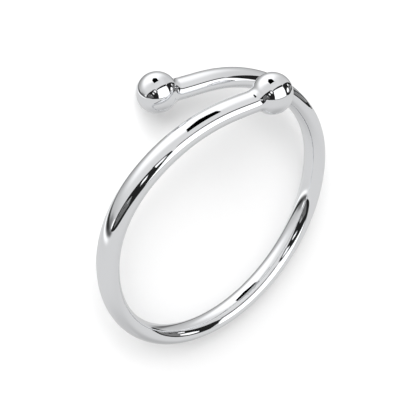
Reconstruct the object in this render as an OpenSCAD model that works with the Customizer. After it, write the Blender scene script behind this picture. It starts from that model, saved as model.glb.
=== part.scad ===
// Open bypass ring: one oval wire bent round the finger, whose two ends rise past
// each other and finish in plain balls.
// Millimetres. The ring lies on its side as it rests by itself, on one ball and on
// the band opposite: +Z is up, +Y points to the ends, the finger axis leans a few
// degrees from +Z, and the origin is under the middle of the ring's box.

/* [Finger] */
// Inside diameter of the ring, ring size 7
inside_d = 17.3; // [14:0.1:22]

/* [Wire] */
// Thickness of the wire, from the finger outwards
wire_t = 1.25; // [1:0.05:1.8]
// Width of the wire, along the finger axis
wire_w = 1.7; // [1.3:0.05:2]

/* [Balls] */
// Diameter of the ball on each end
ball_d = 2.6; // [2.4:0.1:3.2]

/* [Ends] */
// Angle round the ring from its plain side to the middle of each ball
end_angle = 194.5; // [188:0.5:202]
// Angle at which each half starts to leave the ring's plane
rise_from = 91; // [60:1:95]
// Angle over which the slope of an end grows to its full value
rise_over = 48; // [20:1:56]
// Slope of the ends to the ring's plane, in degrees
rise_slope = 10.3; // [9.5:0.1:14]

/* [Flare] */
// Angle at each tip over which the wire turns outwards
flare_arc = 20; // [12:1:30]
// How far a ball stands further out than the rest of the wire
flare_out = 0.55; // [0:0.05:0.8]
// How much further from the ring's plane the flare puts a ball
flare_up = 0.2; // [0:0.05:0.4]

/* [Hidden] */
$fn = 72;

SIDES = 24;         // flats round the wire
STATION_STEP = 4;   // most degrees between two stations of the wire

bend_r = inside_d / 2 + wire_t / 2;   // radius of the wire's middle line
radian = 180 / PI;

// Middle line of the wire, in the ring's own plane with the finger axis along Z.
// Angles run both ways from the plain side, which is the side opposite the ends.

// Arc in radians that counts towards the rise. Its slope grows smoothly from 0 to 1.
function risen_arc(angle) =
    let (t = min(max((angle - rise_from) / rise_over, 0), 1))
    (rise_over * (pow(t, 3) - pow(t, 4) / 2)
        + max(angle - rise_from - rise_over, 0)) / radian;

function flare(angle) = pow(max(angle - end_angle + flare_arc, 0) / flare_arc, 3);

function middle(angle) =
    let (a = abs(angle),
         out = bend_r + flare_out * flare(a),
         up = bend_r * tan(rise_slope) * risen_arc(a) + flare_up * flare(a))
    [out * sin(angle), -out * cos(angle), -sign(angle) * up];

// The wire is one oval section, carried along the middle line in short steps.

spans = ceil(2 * end_angle / STATION_STEP);

function unit(v) = v / norm(v);

function heading(angle) = unit(middle(angle + 0.01) - middle(angle - 0.01));

function oval_at(angle) =
    let (radial = [sin(angle), -cos(angle), 0],
         ahead = heading(angle),
         outward = unit(radial - (radial * ahead) * ahead),
         sideways = cross(ahead, outward))
    [for (k = [0:SIDES - 1])
        let (turn = 360 * k / SIDES)
        middle(angle) + wire_t / 2 * cos(turn) * outward
            + wire_w / 2 * sin(turn) * sideways];

wire_points = [for (i = [0:spans]) each oval_at(-end_angle + 2 * end_angle * i / spans)];

function corner(i, k) = i * SIDES + (k % SIDES);

wire_faces = concat(
    [[for (k = [0:SIDES - 1]) corner(0, k)]],
    [[for (k = [SIDES - 1:-1:0]) corner(spans, k)]],
    [for (i = [0:spans - 1], k = [0:SIDES - 1]) each [
        [corner(i, k), corner(i + 1, k), corner(i + 1, k + 1)],
        [corner(i, k), corner(i + 1, k + 1), corner(i, k + 1)]]]);

// Rest on a flat surface: the ring touches it with its lower ball, and with the band
// at the point that lies beyond the centre of mass, seen from that ball.

ball_low = middle(end_angle);
ball_high = middle(-end_angle);

wire_volume = PI / 4 * wire_t * wire_w * bend_r * 2 * end_angle / radian;
wire_centre_y = -bend_r * sin(end_angle) / (end_angle / radian);
ball_volume = PI / 6 * pow(ball_d, 3);
balance_y = (wire_volume * wire_centre_y + 2 * ball_volume * ball_low.y)
    / (wire_volume + 2 * ball_volume);

balance = [0, balance_y];
across = unit(balance - [ball_low.x, ball_low.y]);
along = -balance * across;
reach = along + sqrt(along * along + bend_r * bend_r - balance * balance);
touch = balance + reach * across;   // where the band's middle line lies over its contact

lean_towards = atan2(-touch.y, -touch.x);
ball_arm = -(touch * [ball_low.x, ball_low.y]) / bend_r;

function band_depth(lean) = norm([wire_w / 2 * cos(lean), wire_t / 2 * sin(lean)]);

// Each round brings the lean closer to the one at which ball and band touch one plane.
function settled(lean, rounds) =
    rounds == 0 ? lean :
    settled(asin((ball_d / 2 - ball_low.z * cos(lean) - band_depth(lean))
        / (ball_arm + bend_r)), rounds - 1);

rest_lean = settled(0, 8);

function about_y(p, a) = [p.x * cos(a) + p.z * sin(a), p.y, p.z * cos(a) - p.x * sin(a)];
function about_z(p, a) = [p.x * cos(a) - p.y * sin(a), p.x * sin(a) + p.y * cos(a), p.z];
function leaned(p) = about_z(about_y(about_z(p, -lean_towards), -rest_lean), lean_towards);

// Box of the leaning ring, from the wire's own points and the two balls.
leaned_wire = [for (p = wire_points) leaned(p)];
leaned_balls = [leaned(ball_low), leaned(ball_high)];

function lowest(axis) = min(
    min([for (p = leaned_wire) p[axis]]),
    min([for (p = leaned_balls) p[axis]]) - ball_d / 2);
function highest(axis) = max(
    max([for (p = leaned_wire) p[axis]]),
    max([for (p = leaned_balls) p[axis]]) + ball_d / 2);

under_middle = [
    (lowest(0) + highest(0)) / 2,
    (lowest(1) + highest(1)) / 2,
    lowest(2)];

module wire() {
    polyhedron(wire_points, wire_faces);
}

// The ball on the end at this angle, with its seam on the side away from the wire.
module ball(angle) {
    translate(middle(angle)) rotate(angle < 0 ? 180 + angle : angle) sphere(d = ball_d);
}

module ring() {
    color("silver")
        translate(-under_middle)
            rotate(lean_towards) rotate([0, -rest_lean, 0]) rotate(-lean_towards) {
                wire();
                ball(end_angle);
                ball(-end_angle);
            }
}

ring();
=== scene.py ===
# %% [markdown]
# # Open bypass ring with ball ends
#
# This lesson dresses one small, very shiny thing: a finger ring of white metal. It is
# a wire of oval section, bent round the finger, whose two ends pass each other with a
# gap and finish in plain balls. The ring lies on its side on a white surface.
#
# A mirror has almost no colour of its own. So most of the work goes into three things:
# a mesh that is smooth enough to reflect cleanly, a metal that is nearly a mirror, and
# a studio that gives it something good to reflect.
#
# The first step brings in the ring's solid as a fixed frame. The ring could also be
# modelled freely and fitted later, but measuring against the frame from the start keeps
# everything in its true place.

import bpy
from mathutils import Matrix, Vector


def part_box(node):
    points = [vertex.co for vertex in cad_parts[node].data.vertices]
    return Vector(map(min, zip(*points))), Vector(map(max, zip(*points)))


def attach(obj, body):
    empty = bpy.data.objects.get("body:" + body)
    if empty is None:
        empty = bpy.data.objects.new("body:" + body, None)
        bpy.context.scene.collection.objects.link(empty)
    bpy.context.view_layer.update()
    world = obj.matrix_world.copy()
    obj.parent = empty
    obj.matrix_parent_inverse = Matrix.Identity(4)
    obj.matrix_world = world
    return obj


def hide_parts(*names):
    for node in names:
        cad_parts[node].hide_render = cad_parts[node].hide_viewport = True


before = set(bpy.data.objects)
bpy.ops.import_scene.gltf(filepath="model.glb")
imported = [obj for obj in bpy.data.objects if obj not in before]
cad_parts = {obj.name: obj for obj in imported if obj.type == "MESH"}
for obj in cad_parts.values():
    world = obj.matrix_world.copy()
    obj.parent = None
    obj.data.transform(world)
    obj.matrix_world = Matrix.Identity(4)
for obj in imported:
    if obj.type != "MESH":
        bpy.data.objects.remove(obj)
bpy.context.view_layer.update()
print("nodes:", sorted(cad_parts))

# %% [markdown]
# ## Tools for the lesson
#
# A goldsmith works in millimetres and the scene works in metres, so the factor between
# them gets a name. Points are kept in arrays, which say in one line what would otherwise
# take a loop over thousands of single points.

# %% Bring in the tools
from math import cos, pi, radians, sin, tan

import bpy
import numpy as np
from mathutils import Matrix, Vector

MM = 0.001
print("a millimetre in the scene's units:", MM)

# %% [markdown]
# ## The sizes of the ring
#
# The inside diameter is that of a common ring size. The wire is thinner from the finger
# outwards than it is along the finger, and each ball is about twice as thick as the wire.
# Angles run both ways round the ring from its plain side, which is opposite the balls.
# The ring could be shaped by eye, but from a few named sizes it can be made again larger
# or thinner without a fault.

# %% Sizes of the ring, in millimetres and degrees
INSIDE_D = 17.3
WIRE_THICK = 1.25
WIRE_WIDE = 1.7
BALL_D = 2.6
END_ANGLE = 194.5      # plain side to the middle of each ball

RISE_FROM = 91         # here each half starts to leave the ring's plane
RISE_OVER = 48         # and over this angle its slope grows to the full value
RISE_SLOPE = 10.3
FLARE_ARC = 20         # the tips turn a little outwards over this angle
FLARE_OUT = 0.55
FLARE_UP = 0.2

BEND_R = INSIDE_D / 2 + WIRE_THICK / 2
print("radius of the wire's middle line, mm:", BEND_R)

# %% [markdown]
# ## The middle line
#
# A bypass ring is made by bending a straight wire round a mandrel and then easing one end
# up and the other end down. The middle line below says the same with a formula: a circle,
# plus a rise whose slope grows smoothly, plus a small flare at each tip. A formula keeps
# the reflections even, where a curve through hand-set points would show a ripple.


# %% The middle line, and the balls at its ends
def middle(angle):
    """Points of the middle line, in the ring's own plane, with the finger along Z."""
    away = np.abs(angle)
    share = np.clip((away - RISE_FROM) / RISE_OVER, 0, 1)
    past = np.maximum(away - RISE_FROM - RISE_OVER, 0)
    risen_arc = np.radians(RISE_OVER * (share**3 - share**4 / 2) + past)
    flare = (np.maximum(away - END_ANGLE + FLARE_ARC, 0) / FLARE_ARC) ** 3
    out = BEND_R + FLARE_OUT * flare
    up = BEND_R * tan(radians(RISE_SLOPE)) * risen_arc + FLARE_UP * flare
    turn = np.radians(angle)
    return np.stack([out * np.sin(turn), -out * np.cos(turn), -np.sign(angle) * up], -1)


ball_low = middle(np.array(END_ANGLE))
ball_high = middle(np.array(-END_ANGLE))
print("ball centres, mm:", ball_low.round(3), ball_high.round(3))

# %% [markdown]
# ## The oval wire
#
# Oval wire is drawn through a die, so its section is the same all along. A curve with an
# oval profile would give a wire too, but it turns the profile in its own way. So each
# point of the skin is worked out from the middle line, some way outwards and some way
# sideways, which keeps the broad side of the oval on the finger.

# %% The skin of the wire
SMALL_ANGLE = 0.01     # degrees between two points that show which way a curve runs


def unit(vectors):
    """The same directions, with a length of one."""
    return vectors / np.linalg.norm(vectors, axis=-1, keepdims=True)


def wire_point(angle, round_wire):
    """Point of the wire's skin at this angle of the ring, and this angle round the wire."""
    turn = np.radians(angle)
    radial = np.stack([np.sin(turn), -np.cos(turn), np.zeros_like(turn)], -1)
    ahead = unit(middle(angle + SMALL_ANGLE) - middle(angle - SMALL_ANGLE))
    outward = unit(radial - (radial * ahead).sum(-1, keepdims=True) * ahead)
    sideways = np.cross(ahead, outward)
    thick = WIRE_THICK / 2 * np.cos(round_wire)[..., None]
    wide = WIRE_WIDE / 2 * np.sin(round_wire)[..., None]
    return middle(angle) + thick * outward + wide * sideways


inner_side = wire_point(np.zeros(1), np.array([pi]))[0]
print("inside diameter, measured, mm:", round(2 * np.linalg.norm(inner_side), 4))

# %% [markdown]
# ## One skin over wire and balls
#
# On the real ring the balls are soldered on and the joint is polished, so metal runs from
# the wire into the ball without a seam. A boolean would join them too, but it leaves long
# thin faces along the joint, and a mirror shows every one of them. So the skin is woven in
# one go. Each thread starts at the far side of one ball, runs over it, through a small
# fillet onto the wire, along the wire, and out over the other ball.
#
# First each thread has to know where it meets the balls. That is found by halving: one
# angle lies inside the ball, one lies outside, and the half between tells which to move.

# %% Where each thread of the skin meets a ball
THREADS = 80           # round the wire
SEARCH_BACK = 20       # this many degrees before a ball's middle the wire is outside the ball
HALVINGS = 50

round_wire = np.linspace(0, 2 * pi, THREADS, endpoint=False)


def entry_angle(ball, side):
    """For each thread, the angle of the ring at which the wire goes into this ball."""
    inside = np.full(THREADS, side * END_ANGLE)
    outside = np.full(THREADS, side * (END_ANGLE - SEARCH_BACK))
    for _ in range(HALVINGS):
        half = (inside + outside) / 2
        is_inside = np.linalg.norm(wire_point(half, round_wire) - ball, axis=1) < BALL_D / 2
        inside = np.where(is_inside, half, inside)
        outside = np.where(is_inside, outside, half)
    return inside


entry_end = entry_angle(ball_low, 1)
entry_start = entry_angle(ball_high, -1)
print("degrees at which the wire goes in:", entry_end.min().round(2), "to", entry_end.max().round(2))

# %% [markdown]
# ## The fillet beside each ball
#
# Polishing rounds off the corner where wire and ball meet. The round is less than a third
# of a millimetre wide to each side, yet it mirrors the whole studio once more, as small
# dark marks beside each ball. A bevel could make it from a sharp edge with tidy faces
# beside it, which this skin doesn't have. So each thread gets a curve with two handles: it
# leaves the wire along the wire, and it arrives on the ball along the ball.

# %% The rows of a fillet
FILLET_ROWS = 14
FILLET = 0.28                 # reach of the fillet to each side of the joint
FILLET_PULL = 0.63 * FILLET   # how far the handles stand from its two ends


def fillet_rows(before, handle_on, handle_back, after):
    """Rows of a smooth curve from one row to another, with a handle at each end."""
    steps = np.arange(1, FILLET_ROWS) / FILLET_ROWS
    return [(1 - s) ** 3 * before + 3 * s * (1 - s) ** 2 * handle_on
            + 3 * s**2 * (1 - s) * handle_back + s**3 * after for s in steps]


print("a fillet has", FILLET_ROWS, "steps over", 2 * FILLET, "mm")

# %% [markdown]
# ## Over the ball
#
# The balls are turned or cast as spheres and polished, so their rows have to lie exactly
# on a sphere. A ready-made sphere would bring rows and poles of its own, which don't meet
# the wire's threads. Here the rows start at the joint and close up at the ball's far side,
# in line with the wire.

# %% The rows that run over a ball
BALL_ROWS = 46
TIP_ARC = 0.5          # the last degrees of the middle line, which point to the ball's far side
JUST_PAST = 1.01       # a hundredth further on, to see which way a thread runs over the ball


def ball_rows(ball, side, entry):
    """Rows from the wire over the ball, and the point at its far side."""
    start = unit(wire_point(entry, round_wire) - ball)
    far = unit(ball - middle(np.array(side * (END_ANGLE - TIP_ARC))))
    span = np.arccos(start @ far)[:, None]

    def over_ball(share):
        blend = np.sin((1 - share) * span) * start + np.sin(share * span) * far
        return ball + BALL_D / 2 * blend / np.sin(span)

    leave = entry - side * np.degrees(FILLET / BEND_R)
    before = wire_point(leave, round_wire)
    along_wire = wire_point(leave + side * SMALL_ANGLE, round_wire) - before
    handle_on = before + FILLET_PULL * along_wire / radians(SMALL_ANGLE) / BEND_R

    first = FILLET / (BALL_D / 2) / span
    after = over_ball(first)
    handle_back = after - FILLET_PULL * unit(over_ball(first * JUST_PAST) - after)

    fillet = fillet_rows(before, handle_on, handle_back, after)
    over = [over_ball(first + (1 - first) * row / BALL_ROWS) for row in range(BALL_ROWS)]
    return fillet + over, ball + BALL_D / 2 * far


rows_end, tip_end = ball_rows(ball_low, 1, entry_end)
rows_start, tip_start = ball_rows(ball_high, -1, entry_start)
print("rows of fillet and ball:", len(rows_end), "and", len(rows_start))

# %% [markdown]
# ## Along the wire
#
# Between the fillets the wire is plain. Smooth shading blends from point to point, and
# where long faces lie beside short ones a reflection bends. So the rows are close and
# even: each thread divides its own way from ball to ball into equal steps, and no thread
# stops halfway.

# %% The rows along the wire
WIRE_ROWS = 640

fillet_angle = np.degrees(FILLET / BEND_R)
first_angle = entry_start + fillet_angle
last_angle = entry_end - fillet_angle
shares = np.linspace(0, 1, WIRE_ROWS + 1)
wire_rows = [wire_point(first_angle + s * (last_angle - first_angle), round_wire) for s in shares]
rows = rows_start[::-1] + wire_rows + rows_end
row_step = np.linalg.norm(wire_rows[1] - wire_rows[0], axis=1).mean()
print("rows:", len(rows), "threads:", THREADS, "mm from row to row of the wire:", row_step.round(3))

# %% [markdown]
# ## Laying the ring down
#
# A ring that is put down on a table doesn't lie flat when its balls stand out from its
# plane. It lies on its lower ball and on the band opposite, and its finger axis leans by
# about nine degrees. It could be dropped by a simulation, but two angles say the same and
# never change. The skin is leaned by them and then set into the fixed frame's box. The two
# differ by no more than a hundredth of a millimetre, because the CAD solid has flats.

# %% Lean the skin and set it into the frame
REST_LEAN = radians(8.9625)       # the part's source works both out, from the ring's sizes
LEAN_TOWARDS = radians(111.979)   # and from where its weight acts

lean = (Matrix.Rotation(LEAN_TOWARDS, 3, "Z")
        @ Matrix.Rotation(-REST_LEAN, 3, "Y")
        @ Matrix.Rotation(-LEAN_TOWARDS, 3, "Z"))
points = np.concatenate([tip_start[None], *rows, tip_end[None]]) @ np.array(lean).T * MM

node_low, node_high = (np.array(corner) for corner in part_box("ring"))
skin_low, skin_high = points.min(0), points.max(0)
shift = (node_low + node_high) / 2 - (skin_low + skin_high) / 2
shift[2] = node_low[2] - skin_low[2]
points += shift
difference = (skin_high - skin_low) - (node_high - node_low)
print("skin and CAD box differ by, mm:", (difference / MM).round(3))

# %% [markdown]
# ## Weaving the faces
#
# The points are in place and now need faces between them. Four-sided faces follow the
# wire both ways, and at each tip a fan of three-sided ones closes the skin, so that it is
# watertight like the real metal. Smooth shading makes one even mirror of them.


# %% Weave the faces and make the piece
def new_object(name, data):
    """An object with this name and data, linked to the scene."""
    made = bpy.data.objects.new(name, data)
    bpy.context.scene.collection.objects.link(made)
    return made


def corner(row, thread):
    """Number of the point at this row and thread, after the first tip."""
    return 1 + row * THREADS + thread % THREADS


last_row = len(rows) - 1
last_tip = len(points) - 1
faces = [(0, corner(0, thread + 1), corner(0, thread)) for thread in range(THREADS)]
for row in range(last_row):
    for thread in range(THREADS):
        faces.append((corner(row, thread), corner(row, thread + 1),
                      corner(row + 1, thread + 1), corner(row + 1, thread)))
for thread in range(THREADS):
    faces.append((last_tip, corner(last_row, thread), corner(last_row, thread + 1)))

skin = bpy.data.meshes.new("ring_body")
skin.from_pydata(points.tolist(), [], faces)
skin.validate()
skin.shade_smooth()
ring = new_object("ring_body", skin)
print("triangles:", sum(len(face.vertices) - 2 for face in skin.polygons))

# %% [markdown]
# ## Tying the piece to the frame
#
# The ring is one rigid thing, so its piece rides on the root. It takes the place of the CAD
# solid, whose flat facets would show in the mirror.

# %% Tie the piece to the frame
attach(ring, "root")
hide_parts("ring")
print(ring.name, "rides on root and stands for the solid ring")

# %% [markdown]
# ## Colours and nodes
#
# A paint chart gives a colour as an sRGB hex value, and shaders count in linear light, so
# one function turns the first into the second. Node trees could be put together by hand,
# but written down they can be read, compared and made again. One small function adds a
# node with its settings and links, and another gives each material its empty tree.


# %% Helpers for colours, nodes and materials
def from_srgb(tone):
    """Linear light of a tone on the screen, where 0 is black and 1 is white."""
    return np.where(tone <= 0.04045, tone / 12.92, ((tone + 0.055) / 1.055) ** 2.4)


def linear(hex_colour):
    """sRGB hex, as a paint chart gives it, turned to the linear light that shaders use."""
    parts = np.array([int(hex_colour[i:i + 2], 16) / 255 for i in (1, 3, 5)])
    return [*from_srgb(parts).tolist(), 1.0]


def add_node(tree, kind, links=None, **settings):
    """Adds a node. Settings are its properties or sockets; links say what feeds a socket."""
    node = tree.nodes.new(kind)
    for name, value in settings.items():
        if hasattr(node, name):
            setattr(node, name, value)
        else:
            node.inputs[name.replace("_", " ")].default_value = value
    for socket, source in (links or {}).items():
        tree.links.new(source, node.inputs[socket])
    return node


def bare_material(name):
    """A new material, and its node tree with nothing in it yet."""
    material = bpy.data.materials.new(name)
    material.use_nodes = True
    material.node_tree.nodes.clear()
    return material, material.node_tree


WHITE = linear("#ffffff")
print("white in linear light:", WHITE)

# %% [markdown]
# ## The metal
#
# White gold and silver rings are polished on felt wheels and then plated with rhodium, a
# hard and slightly cool white metal. That gives the eye a mirror that is a little darker
# than what it mirrors. What is left of the polishing are waves far too low to see and a
# faint haze. A perfect mirror would do at this size, but it looks drawn and not made. So
# the waves are a bump of less than a hundredth of a hair, and the roughness is close to
# zero, with a little more where the wheel lingered.

# %% Rhodium-plated sterling silver
RHODIUM = "#f2f3f5"
HAZE_SIZE = 2.5 * MM          # patches in which the polish is a little hazier
HAZE_ROUGH = (0.012, 0.035)   # roughness in the clearest patches and in the haziest
WAVE_SIZE = 1.1 * MM          # low waves left by the felt wheel
WAVE_DEPTH = 0.0004 * MM
NOISE_RANGE = (0.3, 0.7)      # nearly all values of a noise pattern lie between these

silver, tree = bare_material("rhodium_plated_silver")
place = add_node(tree, "ShaderNodeTexCoord")
haze = add_node(tree, "ShaderNodeTexNoise", {"Vector": place.outputs["Object"]},
                Scale=1 / HAZE_SIZE, Detail=3.0)
rough = add_node(tree, "ShaderNodeMapRange", {"Value": haze.outputs["Fac"]},
                 From_Min=NOISE_RANGE[0], From_Max=NOISE_RANGE[1],
                 To_Min=HAZE_ROUGH[0], To_Max=HAZE_ROUGH[1])
wave = add_node(tree, "ShaderNodeTexNoise", {"Vector": place.outputs["Object"]},
                Scale=1 / WAVE_SIZE, Detail=1.0)
bump = add_node(tree, "ShaderNodeBump", {"Height": wave.outputs["Fac"]}, Distance=WAVE_DEPTH)
metal = add_node(tree, "ShaderNodeBsdfPrincipled",
                 {"Roughness": rough.outputs["Result"], "Normal": bump.outputs["Normal"]},
                 Base_Color=linear(RHODIUM), Metallic=1.0)
add_node(tree, "ShaderNodeOutputMaterial", {"Surface": metal.outputs["BSDF"]})
skin.materials.append(silver)
print(silver.name, "has", len(tree.nodes), "nodes")

# %% [markdown]
# ## The white acrylic
#
# The ring lies on a sheet of white acrylic with a satin face. It is moulded and then
# blasted very finely, which gives the eye a soft white without gloss, so that only the
# shadow tells where the sheet is. Plain white would do for that, but a close camera shows
# that nothing is quite even. So the grain of the blasting is a small bump, and the
# roughness changes a little from place to place.

# %% Blasted white acrylic
ACRYLIC = "#f6f6f6"
SHEEN_SIZE = 18 * MM          # patches in which the face is a little smoother
SHEEN_ROUGH = (0.45, 0.6)
GRAIN_SIZE = 0.4 * MM         # blasting leaves about 0.1 mm, too fine to show, so it is coarser
GRAIN_DEPTH = 0.004 * MM

acrylic, tree = bare_material("blasted_white_acrylic")
place = add_node(tree, "ShaderNodeTexCoord")
sheen = add_node(tree, "ShaderNodeTexNoise", {"Vector": place.outputs["Object"]},
                 Scale=1 / SHEEN_SIZE, Detail=2.0)
rough = add_node(tree, "ShaderNodeMapRange", {"Value": sheen.outputs["Fac"]},
                 From_Min=NOISE_RANGE[0], From_Max=NOISE_RANGE[1],
                 To_Min=SHEEN_ROUGH[0], To_Max=SHEEN_ROUGH[1])
grain = add_node(tree, "ShaderNodeTexNoise", {"Vector": place.outputs["Object"]},
                 Scale=1 / GRAIN_SIZE, Detail=1.0)
bump = add_node(tree, "ShaderNodeBump", {"Height": grain.outputs["Fac"]}, Distance=GRAIN_DEPTH)
plastic = add_node(tree, "ShaderNodeBsdfPrincipled",
                   {"Roughness": rough.outputs["Result"], "Normal": bump.outputs["Normal"]},
                   Base_Color=linear(ACRYLIC))
add_node(tree, "ShaderNodeOutputMaterial", {"Surface": plastic.outputs["BSDF"]})
print(acrylic.name, "has", len(tree.nodes), "nodes")

# %% [markdown]
# ## The sheet
#
# The sheet is one flat face, so large that its edge is far from the ring in every view. It
# could be curved up behind the ring, as in a studio, but the camera looks down so steeply
# that nothing of that would show. The metal doesn't see the sheet. It sees the tent that
# follows, whose floor is painted with light and shade of its own.

# %% The sheet, which the metal doesn't see
FLOOR_SIDE = 1.2              # metres

half = FLOOR_SIDE / 2
floor_corners = [(-half, -half, 0), (half, -half, 0), (half, half, 0), (-half, half, 0)]
floor_mesh = bpy.data.meshes.new("floor")
floor_mesh.from_pydata(floor_corners, [], [(0, 1, 2, 3)])
floor_mesh.materials.append(acrylic)
floor = new_object("floor", floor_mesh)
floor.visible_glossy = False
print("sheet, m:", list(floor.dimensions))

# %% [markdown]
# ## The light of the room
#
# The room is white and evenly lit. Lamps on all sides would do the same with more noise,
# so a plain white world stands for it. It lights the sheet and keeps the shadow pale. The
# metal sees the tent in its place.

# %% World light
ROOM_STRENGTH = 0.68

world = bpy.data.worlds.new("white_room")
bpy.context.scene.world = world
world.use_nodes = True
room = world.node_tree.nodes["Background"]
room.inputs["Color"].default_value = WHITE
room.inputs["Strength"].default_value = ROOM_STRENGTH
print("strength of the room's light:", ROOM_STRENGTH)

# %% [markdown]
# ## The camera
#
# The camera stands only seven centimetres from the ring, high on one side, and is rolled
# so that the balls come to the top of the picture. A camera further off with a longer lens
# would show the ring as large, but flatter: the near half of the wire wouldn't look
# broader than the far half. The plain view transform keeps white as white.

# %% Camera
CAMERA_AT = Vector((-32.372, 35.336, 50.174)) * MM
CAMERA_AIM = Vector((0.738, -1.423, 0.0)) * MM
CAMERA_ROLL = radians(119.746)
SENSOR = 36
LENS = 87.95

camera_data = bpy.data.cameras.new("camera")
camera_data.sensor_width = SENSOR
camera_data.lens = LENS
camera_data.clip_start = 1 * MM
camera = new_object("camera", camera_data)
aim = (CAMERA_AIM - CAMERA_AT).to_track_quat("-Z", "Y").to_matrix()
turned = aim @ Matrix.Rotation(CAMERA_ROLL, 3, "Z")
camera.matrix_world = Matrix.Translation(CAMERA_AT) @ turned.to_4x4()
bpy.context.scene.camera = camera
bpy.context.scene.view_settings.view_transform = "Standard"
print("camera to ring, mm:", round((CAMERA_AIM - CAMERA_AT).length / MM, 1))

# %% [markdown]
# ## The lamp that draws the shadow
#
# A wide lamp stands behind the camera, toward the top of the picture and low over the
# sheet. It gives the ring its soft shadow, where a small lamp or the sun would draw a hard
# one. The metal doesn't see this lamp, because all that it mirrors hangs in the tent.

# %% A soft lamp behind the camera
KEY_POWER = 1.75
KEY_SIZE = 0.26               # metres, like its distance
KEY_AWAY = 0.3
KEY_FROM = Vector((-0.155, 0.466, 0.863))   # to the right, up and toward the camera

key_data = bpy.data.lights.new("soft_key", "AREA")
key_data.energy = KEY_POWER
key_data.size = KEY_SIZE
key = new_object("soft_key", key_data)
key_place = KEY_AWAY * (turned @ KEY_FROM)
key_aim = (-key_place).to_track_quat("-Z", "Y").to_matrix()
key.matrix_world = Matrix.Translation(key_place) @ key_aim.to_4x4()
key.visible_glossy = False
print("height of the lamp over the sheet, m:", round(key_place.z, 3))

# %% [markdown]
# ## The light tent
#
# A photographer puts a shiny ring into a tent of white cloth, with soft lamps outside it.
# Without anything dark the metal would vanish on its white ground. So black and grey cards
# are hung in the tent, and each one draws a crisp dark streak along the wire and a small
# shape on the balls. The tent is large, so that the wire and both balls see each card in
# the same direction. A picture of a studio could be wrapped round the scene instead, but
# cards can be named, moved and cut to the streak that is wanted.
#
# Places are given as two angles seen from the ring: the bearing from the camera, to the
# right, and the height over the tent's horizon. The tent is made for a ring that stands on
# its edge with the balls on top, and it is laid down together with the ring. So up in the
# tent is the way from the ring's middle to its balls, and not up from the sheet.

# %% Directions in the tent
TENT_RADIUS = 1.0          # metres
TENT_TILT = radians(36)    # the camera looks down on the tent's floor by this much

to_right, to_top, to_camera = np.array(turned).T
tent_up = cos(TENT_TILT) * to_top + sin(TENT_TILT) * to_camera
tent_front = cos(TENT_TILT) * to_camera - sin(TENT_TILT) * to_top


def toward(bearing, height):
    """Unit vectors from the ring towards these bearings and heights, in degrees."""
    turn = np.radians(bearing)[..., None]
    rise = np.radians(height)[..., None]
    level = np.cos(turn) * tent_front + np.sin(turn) * to_right
    return np.cos(rise) * level + np.sin(rise) * tent_up


print("straight up in the tent:", tent_up.round(3))

# %% [markdown]
# ## The cloth
#
# The cloth goes all round the ring, over it and under it. A plain sphere would do for an
# even white, but the cloth has soft patches of light, and they are kept in its points. So
# it is a fine net with a point for every degree of bearing and nearly every degree of
# height.

# %% The cloth, as a fine net over all bearings and heights
NET_ROWS = 200
NET_COLUMNS = 360
NET_END = 89.9             # just short of straight up and down, where all bearings meet


def net_faces(row_count, column_count):
    """Four-sided faces from each row of points to the next, with each row a closed loop."""
    made = []
    for row in range(row_count):
        for column in range(column_count):
            here = row * column_count + column
            beside = row * column_count + (column + 1) % column_count
            made.append((here, here + column_count, beside + column_count, beside))
    return made


net_heights, net_bearings = np.meshgrid(np.linspace(-NET_END, NET_END, NET_ROWS + 1),
                                        np.arange(NET_COLUMNS) - 180.0, indexing="ij")
net_heights = net_heights.ravel()
net_bearings = net_bearings.ravel()
print("points in the cloth:", len(net_heights))

# %% [markdown]
# ## Light and shade on the cloth
#
# The cloth isn't evenly lit, and polished metal shows it: each patch of light or shade is
# a soft tone on some stretch of the wire. A patch could be a card, but a card has a crisp
# edge, and shade on cloth has none. So the patches are painted into the net, one over the
# other, with a brush whose ends are as soft as is wanted.

# %% The brush for the cloth
CLOTH_TONE = 0.84          # tones run from 0, black, to 1, white, and over for a lamp
cloth_tones = np.full(len(net_heights), CLOTH_TONE)


def between(value, low, high, soft):
    """1 between two values and 0 outside them, with soft ends."""
    return 1 / (1 + np.exp((low - value) / soft)) / (1 + np.exp((value - high) / soft))


def paint(tone, heights, bearings, soft):
    """Lays a tone over a patch of the cloth, with ends as soft as given for each angle."""
    middle_bearing = (bearings[0] + bearings[1]) / 2
    away = (net_bearings - middle_bearing + 180) % 360 - 180
    reach = (bearings[1] - bearings[0]) / 2
    share = between(net_heights, *heights, soft[0]) * between(away, -reach, reach, soft[1])
    cloth_tones[:] += share * (tone - cloth_tones)


print("tone of the cloth before it is painted:", CLOTH_TONE)

# %% [markdown]
# ## The floor of the tent
#
# The floor of the tent is painted with a little less light than the sides, and least of all
# under the ring. Straight behind the ring the foot of the cloth is painted in deep shade,
# because the very edge of the metal mirrors what lies behind it, and would otherwise be lost
# on the white ground. A dark line could be drawn round the ring instead, but it would be
# there in every view. The painted shade at the foot shows only where polished metal mirrors it.

# %% Shade on the floor of the tent
ALL_ROUND = (-400, 400)    # wider than a full turn, so that the patch has no ends
BOTTOM = -95               # lower than straight down, for the same reason

# painted shade on the whole floor, deeper in its middle under the ring and more so on the right
paint(tone=0.82, heights=(BOTTOM, -9), bearings=ALL_ROUND, soft=(1, 5))
paint(tone=0.74, heights=(BOTTOM, -64), bearings=ALL_ROUND, soft=(6, 5))
paint(tone=0.67, heights=(BOTTOM, -60), bearings=(40, 200), soft=(8, 20))
# painted shade on the floor behind the ring, and deep painted shade at the foot of the cloth there
paint(tone=0.76, heights=(-62, -16), bearings=(150, 210), soft=(4, 8))
paint(tone=0.25, heights=(-15, -4), bearings=(158, 208), soft=(2, 5))
print("cloth tones from", cloth_tones.min().round(2), "to", cloth_tones.max().round(2))
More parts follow.
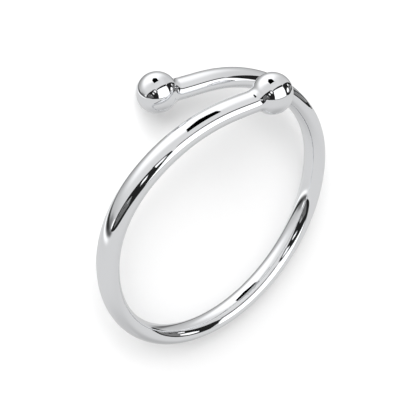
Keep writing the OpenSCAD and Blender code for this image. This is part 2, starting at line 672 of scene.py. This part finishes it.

# %% [markdown]
# ## The sides of the tent
#
# The glow of a lamp behind the cloth at the back left is painted on, and it is the bright
# stripe on top of the near side of the wire. The low sides are painted in shade, and the
# upper right is painted a little brighter than the rest. These could be lamps and shades
# outside the tent, but painted they can be set one by one, and they still fade out softly,
# as light on cloth does.

# %% Light and shade on the sides
# painted shade on the back right, then on the low sides at the back left and the left, then straight
# behind
paint(tone=0.8, heights=(25, 60), bearings=(90, 165), soft=(5, 10))
paint(tone=0.6, heights=(-9, 13), bearings=(-205, -112), soft=(4, 8))
paint(tone=0.7, heights=(-5, 12), bearings=(-112, -62), soft=(5, 8))
paint(tone=0.74, heights=(-5, 42), bearings=(140, 188), soft=(5, 8))
# painted light on the upper right, and the painted glow of a lamp behind the cloth at the back left
paint(tone=0.86, heights=(57, 76), bearings=(-10, 200), soft=(4, 10))
paint(tone=1.04, heights=(22, 76), bearings=(-200, -86), soft=(4, 8))
print("cloth tones from", cloth_tones.min().round(2), "to", cloth_tones.max().round(2))

# %% [markdown]
# ## Where the sides meet the floor
#
# Where the side of the tent is laid on its floor there is a fold without light, and it
# draws the fine dark rims of the balls. A card could be bent along the fold, but the fold
# is darker in one place than in another, so it is painted, in stretches.

# %% Where the sides meet the floor
# painted light along the edge of the floor on the left, and on a stretch of it at the back left
paint(tone=1.08, heights=(-13.8, -9.2), bearings=(-165, -58), soft=(0.8, 5))
paint(tone=0.96, heights=(-26, -15), bearings=(-185, -138), soft=(2, 6))
# painted shade of the fold: behind the ring, on the left, and in front at the right
paint(tone=0.4, heights=(-12, -5), bearings=(150, 225), soft=(1, 6))
paint(tone=0.45, heights=(-8.8, -3.5), bearings=(-150, -70), soft=(0.8, 6))
paint(tone=0.62, heights=(-6.5, -2.5), bearings=(6, 80), soft=(0.6, 3))
# its darkest stretch on the left, and the two ends into which it parts there
paint(tone=0.14, heights=(-7.4, -2.2), bearings=(-118, -69), soft=(0.7, 4))
paint(tone=0.45, heights=(-3, 3), bearings=(-87, -67), soft=(1, 3))
paint(tone=0.3, heights=(-9, -5), bearings=(-75, -48), soft=(0.7, 3))
print("cloth tones from", cloth_tones.min().round(2), "to", cloth_tones.max().round(2))

# %% [markdown]
# ## Lit cloth and lit card
#
# Real cloth and card are lit by lamps outside the tent. Lamps that shine through cloth are
# slow to render and hard to steer. So each point stores the light that it gives off, and
# one material glows with it. The light is a little stronger than the tone asks for,
# because the metal takes some away when it mirrors it.

# %% The glowing material
METAL_REFLECTS = linear(RHODIUM)[1]   # its green stands for its brightness

cloth, tree = bare_material("lit_cloth")
stored = add_node(tree, "ShaderNodeAttribute", attribute_name="light")
glow = add_node(tree, "ShaderNodeEmission", {"Strength": stored.outputs["Fac"]}, Color=WHITE)
add_node(tree, "ShaderNodeOutputMaterial", {"Surface": glow.outputs["Emission"]})
print("the metal reflects", round(METAL_REFLECTS, 3), "of the light")

# %% [markdown]
# ## Hanging a sheet
#
# Cloth and cards are stage things: they are there for their reflections alone. Real ones
# have to be kept out of the picture and out of the light with care. Here the camera looks
# straight through them, and they throw no shadow.


# %% Hang the cloth
def hang(name, places, sheet_faces, tones):
    """A stage sheet that shows only in reflections."""
    sheet = bpy.data.meshes.new(name)
    sheet.from_pydata(places.tolist(), [], sheet_faces)
    light = from_srgb(np.broadcast_to(tones, len(places)).astype(float)) / METAL_REFLECTS
    sheet.attributes.new("light", "FLOAT", "POINT").data.foreach_set("value", light)
    sheet.materials.append(cloth)
    piece = new_object(name, sheet)
    piece.visible_camera = False
    piece.visible_diffuse = False
    piece.visible_transmission = False
    piece.visible_shadow = False


cloth_places = TENT_RADIUS * toward(net_bearings, net_heights)
hang("tent", cloth_places, net_faces(NET_ROWS, NET_COLUMNS), cloth_tones)
print("tent hung, radius in m:", TENT_RADIUS)

# %% [markdown]
# ## Cards and small lamps
#
# A card is cut to a shape and hung close to the cloth, and each one hangs a millimetre in
# front of the one before. A flat card would stand away from the cloth at its middle, so
# it is bent to the round of the tent: its corners are joined along the tent, and rings of
# points fill it from its centre. That needs a shape without deep notches. A small lamp is
# a round card.

# %% Helpers for cards and lamps
CARD_GAP = 1 * MM
EDGE_STEPS = 12
CARD_RINGS = 6
LAMP_STEP = 20             # degrees from point to point round a lamp
hung = []


def card(name, tone, corners):
    """A card with these corners, each a bearing and a height."""
    hung.append(name)
    spots = toward(*np.array(corners, float).T)
    steps = np.linspace(0, 1, EDGE_STEPS, endpoint=False)[:, None]
    sides = zip(spots, np.roll(spots, -1, 0))
    edge = np.concatenate([start + (end - start) * steps for start, end in sides])
    centre = edge.mean(0)
    rings = [centre + share * (edge - centre) for share in np.linspace(0, 1, CARD_RINGS + 1)]
    radius = TENT_RADIUS - len(hung) * CARD_GAP
    hang(name, radius * unit(np.concatenate(rings)), net_faces(CARD_RINGS, len(edge)), tone)


def lamp(name, tone, centre, radius):
    """A round lamp, with its radius in degrees."""
    turns = np.radians(np.arange(0, 360, LAMP_STEP))
    sideways = radius / cos(radians(centre[1])) * np.cos(turns)
    card(name, tone, np.array(centre) + np.stack([sideways, radius * np.sin(turns)], -1))


print("points along a card's side:", EDGE_STEPS, "and rings in it:", CARD_RINGS)

# %% [markdown]
# ## The panel and its slit
#
# A bright panel stands in front of the ring, a little to the right. It makes the broad
# white wedge in each ball and the white stripe along the wire. Above it the cloth is cut
# by a thin dark slit, which draws the fine line beside that stripe.

# %% The panel and its slit
card("slit", tone=0.12, corners=[
    (2, 48), (20, 54), (45, 57.5), (72, 54), (92, 46),
    (88, 40), (73, 45), (45, 49), (20, 47), (4, 41)])
card("panel", tone=1.08, corners=[
    (8, 42), (20, 47), (43, 49), (66, 46), (81, 39),
    (79, 22), (75, 5), (75, -1), (47, -1), (11, -3)])
print("hung so far:", hung)

# %% [markdown]
# ## The dark card on the left
#
# To the left of the panel hangs a dark card. It is a dark wedge in each ball and the long
# dark streak down the near side of the wire. One plain card would do, but a streak of one
# tone looks painted on. So part of the card is grey, and bright notches and small lamps
# break it up, as clips and lamps do in a real studio.

# %% The dark card on the left, and what hangs in front of it
DARK = 0.13

card("dark_left", tone=DARK, corners=[
    (-14, 42), (-3, 38), (7, 27), (12, 12), (13, -5),
    (-20, -7), (-56, -5.3), (-53, 6), (-43, 22), (-29, 36)])
card("fringe_left", tone=0.2, corners=[
    (-30, 38.5), (-26, 41), (-15, 45), (-4, 44.5), (7.5, 34.5), (6, 30), (-20, 33)])
card("grey_left", tone=0.41, corners=[(-49, 2), (-43, 14), (-26, 14), (-13, 2), (-44, -4)])
card("notch_left", tone=1.0, corners=[(-20, 36), (-14, 39.5), (-5, 40), (0, 31), (-6, 27.5)])
card("streak_left", tone=1.0, corners=[(-25, 25), (-21, 27.5), (-17, 27), (-11, 20), (-17, 17.5)])
lamp("lamp_left", tone=0.7, centre=(-28, 11.5), radius=2.6)
lamp("lamp_edge", tone=1.02, centre=(-59, -0.5), radius=3.5)
print("hung so far:", hung)

# %% [markdown]
# ## The dark card on the right
#
# The card on the right is longer and reaches down past the horizon. It is the second dark
# wedge in each ball, with two small lamps in it. They could be real lamps, but those would
# light the sheet as well, and a bright card shows in reflections alone.

# %% The dark card on the right, and what hangs in front of it
LAMP_TONE = 1.06

card("dark_right", tone=DARK, corners=[
    (86, 41), (100, 41), (114, 32), (124, 23), (134, 10), (141, 0),
    (149, -12), (136, -13), (120, -9), (94, -8), (78, -2), (78, 18)])
card("grey_right", tone=0.47, corners=[
    (118, 19), (125, 12), (134, 0), (141, -9), (125, -6), (104, -3), (92, 2)])
card("pale_right", tone=0.6, corners=[(128, 3), (134, -2), (140, -9), (133, -8), (124, -5)])
lamp("lamp_right_high", tone=LAMP_TONE, centre=(119, 15), radius=3.5)
card("lamp_right_low", tone=LAMP_TONE, corners=[
    (88, 8), (92, 3), (100, 3), (107, 8), (106, 15), (100, 18), (92, 15)])
print("hung so far:", hung)

# %% [markdown]
# ## The opening at the top
#
# A tent has a hole at the top to look through. It is the small black diamond in each ball
# and the short black streak on the near side of the wire. It could be left open, but a
# black card in front of the cloth is simpler than a hole in the net.

# %% The opening at the top
card("opening", tone=0.0, corners=[(-114, 67.5), (-146, 61), (-172, 66), (125, 79.5), (-48, 75)])
print("cards and lamps in all:", len(hung))
